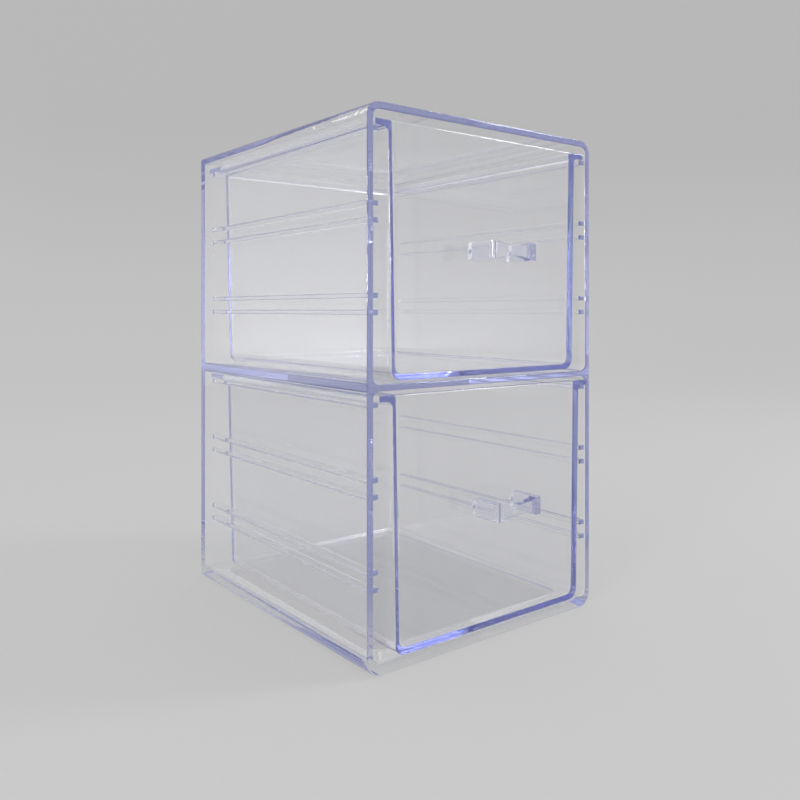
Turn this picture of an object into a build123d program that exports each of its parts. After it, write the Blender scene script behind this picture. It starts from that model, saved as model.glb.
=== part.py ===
from build123d import *
import math
import os

# A clear plastic casing with a shelf in the middle, and one hanging drawer above and one below it.
# Millimetres, +Z up, front towards -Y, origin under the middle of the whole organizer.

# Casing: one moulding, open at the front
CASE_WIDTH = 140.0
CASE_DEPTH = 165.0
CASE_WALL = 3.2
SHELF_THICKNESS = 2.8
FOOT_HEIGHT = 2.2              # the floor lies this far up, on a foot all round
FOOT_WIDTH = 12.0
DRAWER_ROOM = 112.2            # height of the room for one drawer
TOP_SPARE = 2.2                # more height above the upper drawer
CASE_FRONT_RADIUS = 7.0        # long outer edges at the front, where they are roundest
CASE_BACK_RADIUS = 2.0         # the same edges at the back
CASE_BACK_EDGE_RADIUS = 0.8    # outer edge round the back wall
ROOM_FRONT_RADIUS = 3.5        # corners of the two rooms at the front
ROOM_BACK_RADIUS = 1.5         # the same corners at the back
CASE_RIM_RADIUS = 0.7          # all edges of the open front

# Runners inside both side walls: one at the top of each room, and pairs for lower drawers
RUNNER_REACH = 3.9             # how far a runner stands in from the wall
RUNNER_THICKNESS = 2.2
RUNNER_FRONT_GAP = 1.0         # from the front of the casing to the front end of a runner
RUNNER_BACK_GAP = 10.0         # from the back wall to the rear end of a runner
RUNNER_END_RADIUS = 2.0
RUNNER_TIP_RADIUS = 0.5
PAIR_PITCH = 38.3              # from the runners of one pair to those of the next
PAIR_SPACING = 7.1             # between the two runners of a pair

# Drawer: an open tray that hangs by its rim on the top runners of its room
SLIDE_CLEARANCE = 0.3          # under the rim, above the runner
DRAWER_RUNNER_GAP = 4.0        # from a runner to the side of the tray
DRAWER_FLOOR_GAP = 1.3         # under the tray
DRAWER_TOP_GAP = 1.6           # over the tray
DRAWER_BACK_GAP = 6.0          # behind the tray, at its top
DRAWER_RECESS = 0.4            # the closed front lies this far inside the front of the casing
DRAWER_WALL = 2.8
DRAWER_PANEL = 2.4             # front panel
DRAWER_FLOOR = 2.2
DRAWER_DRAFT = 1.0             # degrees, on the sides and the back
DRAWER_EDGE_RADIUS = 5.0       # long bottom edges and the two rear corners, outside
DRAWER_INNER_RADIUS = 3.5      # the same edges, inside
DRAWER_CORNER_RADIUS = 0.8     # inside, where the front panel meets the tray
DRAWER_PANEL_RADIUS = 0.7      # edge round the front panel
RIM_THICKNESS = 2.6
RIM_SIDE_CLEARANCE = 1.4       # from the rim to the casing
RIM_BACK_CLEARANCE = 0.5       # from the rim to the back wall, which stops the drawer
RIM_CORNER_RADIUS = 3.0
RIM_FILLET_RADIUS = 2.6        # under the rim, where it meets the tray

# Bow handle: two legs and a bar with a narrow waist, on two pegs
HANDLE_WIDTH = 28.0
HANDLE_REACH = 16.0            # from the front panel to the face of the bar
HANDLE_END_HEIGHT = 7.8
HANDLE_WAIST_HEIGHT = 4.2
HANDLE_BAR = 3.4
HANDLE_LEG = 4.0
HANDLE_CORNER_RADIUS = 1.4
HANDLE_RISE = 56.2             # from the underside of the tray to the middle of the bar
PEG_DIAMETER = 2.6
PEG_CLEARANCE = 0.05           # all round a peg
HANDLE_SEAT_GAP = 0.05         # from the legs to the front panel

# As shown: the lower drawer stands a little open
LOWER_DRAWER_OPEN = 2.8

# Places that follow from the sizes above
LEFT_OUT = LOWER_DRAWER_OPEN + HANDLE_REACH - DRAWER_RECESS
CASE_FRONT_Y = (LEFT_OUT - CASE_DEPTH) / 2
CASE_BACK_Y = CASE_FRONT_Y + CASE_DEPTH
INNER_BACK_Y = CASE_BACK_Y - CASE_WALL
INNER_HALF_WIDTH = CASE_WIDTH / 2 - CASE_WALL
FLOOR_Z = FOOT_HEIGHT + CASE_WALL
SHELF_Z = FLOOR_Z + DRAWER_ROOM + SHELF_THICKNESS
CEILING_Z = SHELF_Z + DRAWER_ROOM + TOP_SPARE
CASE_HEIGHT = CEILING_Z + CASE_WALL
PANEL_FRONT_Y = CASE_FRONT_Y + DRAWER_RECESS

# The drawer is drawn where it stands in the lower room when closed
DRAWER_UNDER_Z = FLOOR_Z + DRAWER_FLOOR_GAP
DRAWER_TOP_Z = FLOOR_Z + DRAWER_ROOM - DRAWER_TOP_GAP
RIM_UNDER_Z = DRAWER_TOP_Z - RIM_THICKNESS
DRAWER_HALF_WIDTH = INNER_HALF_WIDTH - RUNNER_REACH - DRAWER_RUNNER_GAP
DRAWER_BACK_Y = INNER_BACK_Y - DRAWER_BACK_GAP
HANDLE_Z = DRAWER_UNDER_Z + HANDLE_RISE
ROOM_PITCH = SHELF_Z - FLOOR_Z


def block(x0, x1, y0, y1, z0, z1):
    """A box between six planes."""
    corner = (Align.MIN, Align.MIN, Align.MIN)
    return Pos(x0, y0, z0) * Box(x1 - x0, y1 - y0, z1 - z0, align=corner)


def edge_cutter(y0, y1, half_width, z, front_radius, back_radius, side, way):
    """What rounds one long edge off, less and less from y0 back to y1."""
    ends = []
    for y, radius in ((y0, front_radius), (y1, back_radius)):
        to_arc = radius * (1 - math.sqrt(0.5))
        flat = Vector(side * (half_width - radius), y, z)
        middle = Vector(side * (half_width - to_arc), y, z - way * to_arc)
        wall = Vector(side * half_width, y, z - way * radius)
        arc = ThreePointArc(flat, middle, wall)
        outside = Polyline(wall, wall + Vector(side * radius, 0, 0),
                           wall + Vector(side * radius, 0, way * 2 * radius),
                           flat + Vector(0, 0, way * radius), flat)
        ends.append(Face(Wire([arc, *outside.edges()])))
    return loft(ends)


def through_depth(y0, y1, half_width, z0, z1, front_radius, back_radius):
    """A solid from y0 back to y1 with flat sides, whose long edges lose roundness on the way."""
    solid = block(-half_width, half_width, y0, y1, z0, z1)
    for side in (-1, 1):
        for z, way in ((z0, -1), (z1, 1)):
            solid = solid - edge_cutter(y0, y1, half_width, z, front_radius, back_radius, side, way)
    return solid


def room(z0, z1):
    """The hollow for one drawer."""
    return through_depth(CASE_FRONT_Y, INNER_BACK_Y, INNER_HALF_WIDTH, z0, z1,
                         ROOM_FRONT_RADIUS, ROOM_BACK_RADIUS)


def underside():
    """The shallow hollow under the floor, inside the foot."""
    half = CASE_WIDTH / 2 - FOOT_WIDTH
    hollow = block(-half, half, CASE_FRONT_Y + FOOT_WIDTH, CASE_BACK_Y - FOOT_WIDTH, 0, FOOT_HEIGHT)
    return fillet(hollow.edges().filter_by(Axis.Z), FOOT_WIDTH / 2)


def casing_shell():
    """The walls, the floor and the shelf, open at the front."""
    shell = through_depth(CASE_FRONT_Y, CASE_BACK_Y, CASE_WIDTH / 2, 0, CASE_HEIGHT,
                          CASE_FRONT_RADIUS, CASE_BACK_RADIUS)
    back = shell.faces().sort_by(Axis.Y)[-1]
    shell = fillet(back.edges(), CASE_BACK_EDGE_RADIUS)
    shell = shell - room(FLOOR_Z, FLOOR_Z + DRAWER_ROOM)
    shell = shell - room(SHELF_Z, CEILING_Z)
    shell = shell - underside()
    front = shell.faces().sort_by(Axis.Y)[0]
    return fillet(front.edges(), CASE_RIM_RADIUS)


def runner(side, middle_z):
    """One runner on the wall at side -1 or +1, rooted inside the wall."""
    tip_x = side * (INNER_HALF_WIDTH - RUNNER_REACH)
    root_x = side * (INNER_HALF_WIDTH + CASE_WALL / 2)
    bar = block(min(tip_x, root_x), max(tip_x, root_x),
                CASE_FRONT_Y + RUNNER_FRONT_GAP, INNER_BACK_Y - RUNNER_BACK_GAP,
                middle_z - RUNNER_THICKNESS / 2, middle_z + RUNNER_THICKNESS / 2)
    uprights = bar.edges().filter_by(Axis.Z)
    at_tip = [edge for edge in uprights if abs(edge.center().X - tip_x) < 0.01]
    bar = fillet(at_tip, RUNNER_END_RADIUS)
    long_edges = bar.edges().filter_by(Axis.Y)
    tip_edges = [edge for edge in long_edges if abs(edge.center().X - tip_x) < 0.01]
    return fillet(tip_edges, RUNNER_TIP_RADIUS)


def runner_heights():
    """How high each runner on one wall lies over the floor of its room, from the top down."""
    top = RIM_UNDER_Z - SLIDE_CLEARANCE - RUNNER_THICKNESS / 2 - FLOOR_Z
    heights = [top]
    lower = top - PAIR_PITCH
    while lower > 2 * PAIR_SPACING:
        heights.append(lower + PAIR_SPACING)
        heights.append(lower)
        lower = lower - PAIR_PITCH
    return heights


def casing():
    """The casing with the runners of both rooms."""
    solid = casing_shell()
    for base_z in (FLOOR_Z, SHELF_Z):
        for height in runner_heights():
            for side in (-1, 1):
                solid = solid + runner(side, base_z + height)
    return solid


def tapered_block(inset, front_y, under_z):
    """The tray's outer form moved in by a wall: upright in front, drafted elsewhere."""
    lean = math.tan(math.radians(DRAWER_DRAFT)) * (DRAWER_TOP_Z - under_z)
    half_top = DRAWER_HALF_WIDTH - inset
    half_under = half_top - lean
    back_top = DRAWER_BACK_Y - inset
    back_under = back_top - lean
    top = Pos(0, (front_y + back_top) / 2, DRAWER_TOP_Z) * Rectangle(2 * half_top, back_top - front_y)
    under = Pos(0, (front_y + back_under) / 2, under_z) * Rectangle(2 * half_under, back_under - front_y)
    return loft([under.face(), top.face()])


def rim_half_width():
    """Half the rim's width, clear of the rounded upper corners of the lower room."""
    rise = ROOM_FRONT_RADIUS - DRAWER_TOP_GAP
    corner = 0.0
    if rise > 0:
        corner = ROOM_FRONT_RADIUS - math.sqrt(ROOM_FRONT_RADIUS ** 2 - rise ** 2)
    return INNER_HALF_WIDTH - max(RIM_SIDE_CLEARANCE, corner + SLIDE_CLEARANCE)


def rim():
    """The flange that hangs on the two top runners and stops at the back wall."""
    half = rim_half_width()
    plate = block(-half, half, PANEL_FRONT_Y, INNER_BACK_Y - RIM_BACK_CLEARANCE,
                  RIM_UNDER_Z, DRAWER_TOP_Z)
    rear = plate.edges().filter_by(Axis.Z).sort_by(Axis.Y)[-2:]
    return fillet(rear, RIM_CORNER_RADIUS)


def tray_outside():
    """The outer form with its rim, rounded below and at the rear, crisp at the front."""
    solid = tapered_block(0, PANEL_FRONT_Y, DRAWER_UNDER_Z)
    soft = [edge for edge in solid.edges()
            if edge.center().Y > PANEL_FRONT_Y + 1 and edge.center().Z < DRAWER_TOP_Z - 1]
    solid = fillet(soft, DRAWER_EDGE_RADIUS) + rim()
    under_rim = [edge for edge in solid.edges()
                 if abs(edge.center().Z - RIM_UNDER_Z) < 0.01
                 and abs(edge.center().X) < DRAWER_HALF_WIDTH + 0.5
                 and PANEL_FRONT_Y + 1 < edge.center().Y < DRAWER_BACK_Y + 0.5]
    solid = fillet(under_rim, RIM_FILLET_RADIUS)
    front = solid.faces().sort_by(Axis.Y)[0]
    return fillet(front.edges(), DRAWER_PANEL_RADIUS)


def tray_hollow():
    """The space inside the tray, rounded like its outside and nearly square behind the panel."""
    front_y = PANEL_FRONT_Y + DRAWER_PANEL
    solid = tapered_block(DRAWER_WALL, front_y, DRAWER_UNDER_Z + DRAWER_FLOOR)
    soft = [edge for edge in solid.edges()
            if edge.center().Y > front_y + 1 and edge.center().Z < DRAWER_TOP_Z - 1]
    solid = fillet(soft, DRAWER_INNER_RADIUS)
    behind_panel = [edge for edge in solid.faces().sort_by(Axis.Y)[0].edges()
                    if edge.center().Z < DRAWER_TOP_Z - 1]
    return fillet(behind_panel, DRAWER_CORNER_RADIUS)


def handle_leg_places():
    """The X of the middle of each leg, which is where its peg is."""
    middle = HANDLE_WIDTH / 2 - HANDLE_LEG / 2
    return (-middle, middle)


def rod(radius, x, y0, y1):
    """A round rod along Y at the height of the handle."""
    return Pos(x, (y0 + y1) / 2, HANDLE_Z) * Rot(90, 0, 0) * Cylinder(radius, y1 - y0)


def drawer():
    """The tray with the two holes for the handle."""
    solid = tray_outside() - tray_hollow()
    for x in handle_leg_places():
        hole = rod(PEG_DIAMETER / 2 + PEG_CLEARANCE, x,
                   PANEL_FRONT_Y - 1, PANEL_FRONT_Y + DRAWER_PANEL + 1)
        solid = solid - hole
    return solid


def bow_outline():
    """The front view of the handle: tall ends and a narrow waist."""
    half = HANDLE_WIDTH / 2
    neck = half - HANDLE_LEG
    end = HANDLE_END_HEIGHT / 2
    waist = HANDLE_WAIST_HEIGHT / 2
    lines = [
        ThreePointArc((-neck, end), (0, waist), (neck, end)),
        Polyline((neck, end), (half, end), (half, -end), (neck, -end)),
        ThreePointArc((neck, -end), (0, -waist), (-neck, -end)),
        Polyline((-neck, -end), (-half, -end), (-half, end), (-neck, end)),
    ]
    return make_face(lines)


def handle():
    """The bow handle with its two pegs."""
    bar_face_y = PANEL_FRONT_Y - HANDLE_REACH
    outline = Plane.XZ.offset(HANDLE_SEAT_GAP - PANEL_FRONT_Y) * bow_outline()
    solid = Pos(0, 0, HANDLE_Z) * extrude(outline, HANDLE_REACH - HANDLE_SEAT_GAP)
    finger_half = HANDLE_WIDTH / 2 - HANDLE_LEG
    gap = block(-finger_half, finger_half, bar_face_y + HANDLE_BAR, PANEL_FRONT_Y + 1,
                HANDLE_Z - HANDLE_END_HEIGHT, HANDLE_Z + HANDLE_END_HEIGHT)
    solid = solid - gap
    corners = [edge for edge in solid.edges().filter_by(Axis.Z)
               if edge.center().Y < PANEL_FRONT_Y - 1]
    solid = fillet(corners, HANDLE_CORNER_RADIUS)
    for x in handle_leg_places():
        solid = solid + rod(PEG_DIAMETER / 2, x, PANEL_FRONT_Y - 1, PANEL_FRONT_Y + DRAWER_PANEL)
    return solid


def save(shape, name):
    """Write one piece to its own file."""
    export_step(shape, os.path.join("parts", name + ".step"))


os.makedirs("parts", exist_ok=True)

drawer_shape = drawer()
handle_shape = handle()
pulled_out = Pos(0, -LOWER_DRAWER_OPEN, 0)
one_room_up = Pos(0, 0, ROOM_PITCH)

save(casing(), "casing")
save(pulled_out * drawer_shape, "lower_drawer")
save(pulled_out * handle_shape, "lower_handle")
save(one_room_up * drawer_shape, "upper_drawer")
save(one_room_up * handle_shape, "upper_handle")
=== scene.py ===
"""Finish, stage and camera for a clear plastic organizer with two drawers."""

import math

import bpy
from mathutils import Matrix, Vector


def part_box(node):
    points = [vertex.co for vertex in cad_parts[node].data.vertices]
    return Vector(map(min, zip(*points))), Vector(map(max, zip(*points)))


bl_info = {
    "name": "Clear drawer organizer",
    "version": (1, 0, 0),
    "blender": (4, 5, 0),
    "location": "3D View > Sidebar > Organizer",
    "description": "Clear plastic finish, studio stage and camera for a two-drawer organizer",
    "category": "Object",
}

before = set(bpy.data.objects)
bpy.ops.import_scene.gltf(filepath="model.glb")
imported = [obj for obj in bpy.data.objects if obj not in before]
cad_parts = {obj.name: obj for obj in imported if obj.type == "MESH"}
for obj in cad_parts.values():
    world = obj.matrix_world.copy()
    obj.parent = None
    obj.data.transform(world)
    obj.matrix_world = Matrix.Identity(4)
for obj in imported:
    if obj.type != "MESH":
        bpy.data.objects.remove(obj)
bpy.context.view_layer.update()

CASING_NODES = ("casing",)
DRAWER_NODES = ("lower_drawer", "upper_drawer")
HANDLE_NODES = ("lower_handle", "upper_handle")

# Patterns, as features per metre
SMEARS_PER_METRE = 38.0
GRAINS_PER_METRE = 900.0
HAZE_NOISE_RANGE = (0.35, 0.75)  # the noise values between which the haze runs from least to most

# Bands in the curve from the floor to the wall
SWEEP_STEPS = 14

# Places of the lights, in metres
WASH_HEIGHT = 0.30
WASH_AIM_HEIGHT = 0.10
KEY_PLACE = (0.80, -0.45, 0.95)
SIDE_PLACE = (-1.10, -0.45, 0.28)
EDGE_LIGHT_AIM = (0.0, 0.0, 0.12)


class PlasticSettings(bpy.types.PropertyGroup):
    """Sizes and colours of the clear plastic."""

    casing_tint: bpy.props.FloatVectorProperty(
        name="Casing tint",
        description="Colour that light takes on along its way through the casing",
        subtype="COLOR", size=3, min=0.0, max=1.0, default=(0.50, 0.54, 0.86))
    drawer_tint: bpy.props.FloatVectorProperty(
        name="Drawer tint",
        description="Colour that light takes on along its way through a drawer",
        subtype="COLOR", size=3, min=0.0, max=1.0, default=(0.42, 0.47, 0.84))
    handle_tint: bpy.props.FloatVectorProperty(
        name="Handle tint",
        description="Colour that light takes on along its way through a handle",
        subtype="COLOR", size=3, min=0.0, max=1.0, default=(0.45, 0.48, 0.84))
    tint_depth: bpy.props.FloatProperty(
        name="Tint density",
        description="How soon the tint shows in the casing and the drawers, per metre of plastic",
        default=10.0, min=0.0)
    handle_tint_depth: bpy.props.FloatProperty(
        name="Handle tint density",
        description="How soon the tint shows in the handles, per metre of plastic",
        default=45.0, min=0.0)
    clearness: bpy.props.FloatProperty(
        name="Clearness",
        description="Share of the light that an outer face lets in, the rest being a pale bloom",
        default=0.95, min=0.0, max=1.0)
    bend: bpy.props.FloatProperty(
        name="Index of refraction",
        description="How much the clear plastic bends light",
        default=1.49, min=1.0, max=2.0)
    ripple_size: bpy.props.FloatProperty(
        name="Ripple size",
        description="Width of the faint waves that moulding leaves in a flat wall",
        default=0.045, min=0.001, unit="LENGTH")
    ripple_height: bpy.props.FloatProperty(
        name="Ripple height",
        description="Height of the faint waves in a flat wall",
        default=0.00004, min=0.0, unit="LENGTH")
    haze_low: bpy.props.FloatProperty(
        name="Least haze",
        description="Roughness of the clearest spots",
        default=0.006, min=0.0, max=1.0)
    haze_high: bpy.props.FloatProperty(
        name="Most haze",
        description="Roughness of the spots that handling has dulled",
        default=0.03, min=0.0, max=1.0)


class StageSettings(bpy.types.PropertyGroup):
    """Floor, backdrop, light and camera."""

    floor_colour: bpy.props.FloatVectorProperty(
        name="Floor colour",
        description="Colour of the seamless floor and backdrop",
        subtype="COLOR", size=3, min=0.0, max=1.0, default=(0.13, 0.13, 0.131))
    floor_radius: bpy.props.FloatProperty(
        name="Floor radius",
        description="From the middle to where the floor starts to rise",
        default=1.3, min=0.5, unit="LENGTH")
    sweep_radius: bpy.props.FloatProperty(
        name="Sweep radius",
        description="Radius of the curve from the floor to the wall",
        default=0.7, min=0.1, unit="LENGTH")
    wall_height: bpy.props.FloatProperty(
        name="Wall height",
        description="Height of the backdrop's upper edge",
        default=1.7, min=0.5, unit="LENGTH")
    floor_glow: bpy.props.FloatProperty(
        name="Floor glow",
        description="Light that comes through the lit paper of the floor",
        default=0.425, min=0.0)
    wall_glow: bpy.props.FloatProperty(
        name="Wall glow",
        description="Light that comes through the lit paper high up the wall",
        default=0.37, min=0.0)
    glow_height: bpy.props.FloatProperty(
        name="Glow height",
        description="Height over which the glow changes from that of the floor to that of the wall",
        default=0.7, min=0.05, unit="LENGTH")
    sky_strength: bpy.props.FloatProperty(
        name="Fill light",
        description="Strength of the even light from above",
        default=1.0, min=0.0)
    wash_power: bpy.props.FloatProperty(
        name="Wall lights",
        description="Power of each light that brightens the wall beside the object",
        default=13.0, min=0.0, unit="POWER")
    wash_size: bpy.props.FloatProperty(
        name="Wall light size",
        description="Side of each wall light",
        default=0.4, min=0.05, unit="LENGTH")
    key_power: bpy.props.FloatProperty(
        name="Key light",
        description="Power of the light above and to the right, which draws the level edges",
        default=7.0, min=0.0, unit="POWER")
    side_power: bpy.props.FloatProperty(
        name="Side light",
        description="Power of the low light to the left, which draws the upright edges",
        default=10.0, min=0.0, unit="POWER")
    light_size: bpy.props.FloatProperty(
        name="Light size",
        description="Side of the key light and of the side light",
        default=0.25, min=0.05, unit="LENGTH")
    lens: bpy.props.FloatProperty(
        name="Lens",
        description="Focal length of the camera in millimetres",
        default=35.9, min=10.0)
    turn: bpy.props.FloatProperty(
        name="Camera turn",
        description="How far the camera is turned to the right of straight back",
        subtype="ANGLE", default=math.radians(37.6))
    camera_left: bpy.props.FloatProperty(
        name="Camera to the left",
        description="From the middle of the casing to the camera, across",
        default=0.2583, unit="LENGTH")
    camera_ahead: bpy.props.FloatProperty(
        name="Camera ahead",
        description="From the front of the casing to the camera",
        default=0.2663, unit="LENGTH")
    camera_height: bpy.props.FloatProperty(
        name="Camera height",
        description="From the floor to the camera",
        default=0.1514, unit="LENGTH")
    frame_drop: bpy.props.FloatProperty(
        name="Frame drop",
        description="How far the picture is shifted down, as a share of its width",
        default=-0.1125)


def plastic(name, tint, tint_depth, look):
    """A clear moulded plastic with faint waves, a little uneven haze and a pale bloom outside."""
    material = bpy.data.materials.new(name)
    material.use_nodes = True
    nodes = material.node_tree.nodes
    links = material.node_tree.links
    nodes.clear()

    place = nodes.new("ShaderNodeTexCoord")
    shader = nodes.new("ShaderNodeBsdfPrincipled")
    shader.inputs["Base Color"].default_value = (1.0, 1.0, 1.0, 1.0)
    shader.inputs["IOR"].default_value = look.bend

    side = nodes.new("ShaderNodeNewGeometry")
    clear = nodes.new("ShaderNodeMapRange")
    clear.label = "All light gets out, but the bloom stops some from getting in"
    clear.inputs["To Min"].default_value = look.clearness
    links.new(side.outputs["Backfacing"], clear.inputs["Value"])
    links.new(clear.outputs["Result"], shader.inputs["Transmission Weight"])

    waves = nodes.new("ShaderNodeTexNoise")
    waves.inputs["Scale"].default_value = 1.0 / look.ripple_size
    waves.inputs["Detail"].default_value = 1.0
    bump = nodes.new("ShaderNodeBump")
    bump.inputs["Strength"].default_value = 1.0
    bump.inputs["Distance"].default_value = look.ripple_height
    links.new(place.outputs["Object"], waves.inputs["Vector"])
    links.new(waves.outputs["Fac"], bump.inputs["Height"])
    links.new(bump.outputs["Normal"], shader.inputs["Normal"])

    smears = nodes.new("ShaderNodeTexNoise")
    smears.inputs["Scale"].default_value = SMEARS_PER_METRE
    smears.inputs["Detail"].default_value = 8.0
    smears.inputs["Roughness"].default_value = 0.62
    haze = nodes.new("ShaderNodeMapRange")
    haze.inputs["From Min"].default_value = HAZE_NOISE_RANGE[0]
    haze.inputs["From Max"].default_value = HAZE_NOISE_RANGE[1]
    haze.inputs["To Min"].default_value = look.haze_low
    haze.inputs["To Max"].default_value = look.haze_high
    links.new(place.outputs["Object"], smears.inputs["Vector"])
    links.new(smears.outputs["Fac"], haze.inputs["Value"])
    links.new(haze.outputs["Result"], shader.inputs["Roughness"])

    depth = nodes.new("ShaderNodeVolumeAbsorption")
    depth.inputs["Color"].default_value = (*tint, 1.0)
    depth.inputs["Density"].default_value = tint_depth

    output = nodes.new("ShaderNodeOutputMaterial")
    links.new(shader.outputs["BSDF"], output.inputs["Surface"])
    links.new(depth.outputs["Volume"], output.inputs["Volume"])
    return material


def give(node_names, material):
    """Give some nodes of the frame one material."""
    for name in node_names:
        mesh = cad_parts[name].data
        mesh.materials.clear()
        mesh.materials.append(material)


def deselect():
    """Leave nothing selected, so that the next operator works on the new object alone."""
    if bpy.context.object and bpy.context.object.mode != "OBJECT":
        bpy.ops.object.mode_set(mode="OBJECT")
    bpy.ops.object.select_all(action="DESELECT")


class ORGANIZER_OT_casing(bpy.types.Operator):
    """Finish the casing"""

    bl_idname = "organizer.casing"
    bl_label = "Casing"

    def execute(self, context):
        look = context.scene.organizer_plastic
        give(CASING_NODES, plastic("clear_casing", look.casing_tint, look.tint_depth, look))
        return {"FINISHED"}


class ORGANIZER_OT_drawers(bpy.types.Operator):
    """Finish the two drawers"""

    bl_idname = "organizer.drawers"
    bl_label = "Drawers"

    def execute(self, context):
        look = context.scene.organizer_plastic
        give(DRAWER_NODES, plastic("clear_drawer", look.drawer_tint, look.tint_depth, look))
        return {"FINISHED"}


class ORGANIZER_OT_handles(bpy.types.Operator):
    """Finish the two bow handles"""

    bl_idname = "organizer.handles"
    bl_label = "Handles"

    def execute(self, context):
        look = context.scene.organizer_plastic
        give(HANDLE_NODES, plastic("clear_handle", look.handle_tint, look.handle_tint_depth, look))
        return {"FINISHED"}


def backdrop_material(stage):
    """Matt seamless paper with a faint grain, lit from behind."""
    material = bpy.data.materials.new("backdrop_paper")
    material.use_nodes = True
    nodes = material.node_tree.nodes
    links = material.node_tree.links
    shader = nodes["Principled BSDF"]
    shader.inputs["Base Color"].default_value = (*stage.floor_colour, 1.0)
    shader.inputs["Roughness"].default_value = 0.9
    shader.inputs["Specular IOR Level"].default_value = 0.1
    place = nodes.new("ShaderNodeTexCoord")
    grain = nodes.new("ShaderNodeTexNoise")
    grain.inputs["Scale"].default_value = GRAINS_PER_METRE
    grain.inputs["Detail"].default_value = 2.0
    bump = nodes.new("ShaderNodeBump")
    bump.inputs["Strength"].default_value = 0.05
    bump.inputs["Distance"].default_value = 0.0003
    links.new(place.outputs["Object"], grain.inputs["Vector"])
    links.new(grain.outputs["Fac"], bump.inputs["Height"])
    links.new(bump.outputs["Normal"], shader.inputs["Normal"])
    height = nodes.new("ShaderNodeSeparateXYZ")
    glow = nodes.new("ShaderNodeMapRange")
    glow.interpolation_type = "SMOOTHSTEP"
    glow.inputs["From Max"].default_value = stage.glow_height
    glow.inputs["To Min"].default_value = stage.floor_glow
    glow.inputs["To Max"].default_value = stage.wall_glow
    shader.inputs["Emission Color"].default_value = (1.0, 1.0, 1.0, 1.0)
    links.new(place.outputs["Object"], height.inputs["Vector"])
    links.new(height.outputs["Z"], glow.inputs["Value"])
    links.new(glow.outputs["Result"], shader.inputs["Emission Strength"])
    return material


def backdrop(stage):
    """A round floor that curves up into a wall on all sides, so every view has the same ground."""
    deselect()
    bpy.ops.mesh.primitive_circle_add(vertices=128, radius=stage.floor_radius, fill_type="NGON")
    bowl = bpy.context.object
    bowl.name = "backdrop"
    bpy.ops.object.mode_set(mode="EDIT")
    bpy.ops.mesh.select_mode(type="EDGE")
    bpy.ops.mesh.select_all(action="SELECT")
    bpy.ops.mesh.region_to_loop()
    radius = stage.floor_radius
    height = 0.0
    for step in range(1, SWEEP_STEPS + 1):
        angle = math.radians(90) * step / SWEEP_STEPS
        new_radius = stage.floor_radius + stage.sweep_radius * math.sin(angle)
        new_height = stage.sweep_radius * (1 - math.cos(angle))
        bpy.ops.mesh.extrude_region_move(TRANSFORM_OT_translate={"value": (0, 0, new_height - height)})
        share = new_radius / radius
        bpy.ops.transform.resize(value=(share, share, 1), center_override=(0, 0, 0))
        radius = new_radius
        height = new_height
    wall = stage.wall_height - height
    bpy.ops.mesh.extrude_region_move(TRANSFORM_OT_translate={"value": (0, 0, wall)})
    bpy.ops.mesh.select_all(action="SELECT")
    bpy.ops.mesh.normals_make_consistent(inside=True)
    bpy.ops.object.mode_set(mode="OBJECT")
    bpy.ops.object.shade_smooth()
    bowl.data.materials.append(backdrop_material(stage))


def soft_light(name, place, aim, size, power):
    """A square area light that looks at a point."""
    deselect()
    bpy.ops.object.light_add(type="AREA", location=place)
    lamp = bpy.context.object
    lamp.name = name
    lamp.rotation_euler = (Vector(aim) - Vector(place)).to_track_quat("-Z", "Y").to_euler()
    lamp.data.shape = "SQUARE"
    lamp.data.size = size
    lamp.data.energy = power


def wall_lights(stage):
    """Two lights, backs to the object, brighten the wall that its left side and front mirror."""
    reach = stage.floor_radius
    for name, turn in (("left_wash", -stage.turn), ("right_wash", math.pi - stage.turn)):
        across = math.sin(turn)
        along = math.cos(turn)
        place = (reach * across, reach * along, WASH_HEIGHT)
        aim = (2 * reach * across, 2 * reach * along, WASH_AIM_HEIGHT)
        soft_light(name, place, aim, stage.wash_size, stage.wash_power)


def edge_lights(stage):
    """Two bright squares, placed so that rounded edges mirror them and flat walls don't."""
    soft_light("key", KEY_PLACE, EDGE_LIGHT_AIM, stage.light_size, stage.key_power)
    soft_light("side", SIDE_PLACE, EDGE_LIGHT_AIM, stage.light_size, stage.side_power)


def camera(stage):
    """The camera at the angle of the picture, level, with its frame shifted down."""
    low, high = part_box("casing")
    middle_x = (low[0] + high[0]) / 2
    place = (middle_x - stage.camera_left, low[1] - stage.camera_ahead, stage.camera_height)
    deselect()
    bpy.ops.object.camera_add(location=place, rotation=(math.radians(90), 0, -stage.turn))
    eye = bpy.context.object
    eye.name = "camera"
    eye.data.sensor_width = 36.0
    eye.data.lens = stage.lens
    eye.data.shift_y = stage.frame_drop
    eye.data.clip_start = 0.01
    bpy.context.scene.camera = eye


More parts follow.
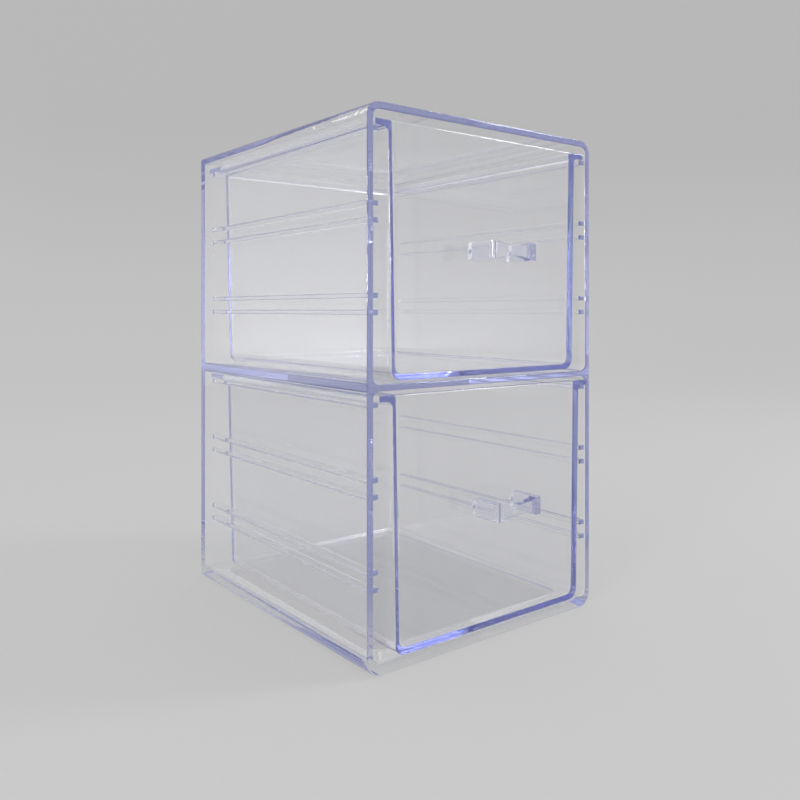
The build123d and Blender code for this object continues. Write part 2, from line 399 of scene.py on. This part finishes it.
def sky(strength):
    """Even pale light from all round and above."""
    world = bpy.data.worlds.new("soft_sky")
    world.use_nodes = True
    light = world.node_tree.nodes["Background"]
    light.inputs["Color"].default_value = (1.0, 1.0, 1.0, 1.0)
    light.inputs["Strength"].default_value = strength
    bpy.context.scene.world = world


class ORGANIZER_OT_stage(bpy.types.Operator):
    """Set up the floor, the backdrop, the light and the camera"""

    bl_idname = "organizer.stage"
    bl_label = "Stage"

    def execute(self, context):
        stage = context.scene.organizer_stage
        scene = context.scene
        backdrop(stage)
        sky(stage.sky_strength)
        wall_lights(stage)
        edge_lights(stage)
        camera(stage)
        scene.view_settings.view_transform = "Standard"
        scene.view_settings.look = "None"
        scene.cycles.max_bounces = 128
        scene.cycles.transmission_bounces = 128
        scene.cycles.glossy_bounces = 128
        scene.cycles.use_denoising = True
        return {"FINISHED"}


class ORGANIZER_PT_panel(bpy.types.Panel):
    """Lists the steps that finish the organizer"""

    bl_idname = "ORGANIZER_PT_panel"
    bl_label = "Clear drawer organizer"
    bl_space_type = "VIEW_3D"
    bl_region_type = "UI"
    bl_category = "Organizer"

    def draw(self, context):
        column = self.layout.column()
        for step in STEPS:
            column.operator(step.bl_idname)
        for group in (context.scene.organizer_plastic, context.scene.organizer_stage):
            for name in group.__annotations__:
                column.prop(group, name)


STEPS = (ORGANIZER_OT_casing, ORGANIZER_OT_drawers, ORGANIZER_OT_handles, ORGANIZER_OT_stage)
CLASSES = (PlasticSettings, StageSettings) + STEPS + (ORGANIZER_PT_panel,)


def register():
    """Add the settings, steps and panel."""
    for item in CLASSES:
        bpy.utils.register_class(item)
    bpy.types.Scene.organizer_plastic = bpy.props.PointerProperty(type=PlasticSettings)
    bpy.types.Scene.organizer_stage = bpy.props.PointerProperty(type=StageSettings)


def unregister():
    """Take them away again."""
    del bpy.types.Scene.organizer_stage
    del bpy.types.Scene.organizer_plastic
    for item in reversed(CLASSES):
        bpy.utils.unregister_class(item)


def main():
    """Run every step."""
    register()
    bpy.ops.organizer.casing()
    bpy.ops.organizer.drawers()
    bpy.ops.organizer.handles()
    bpy.ops.organizer.stage()


if __name__ == "__main__":
    main()
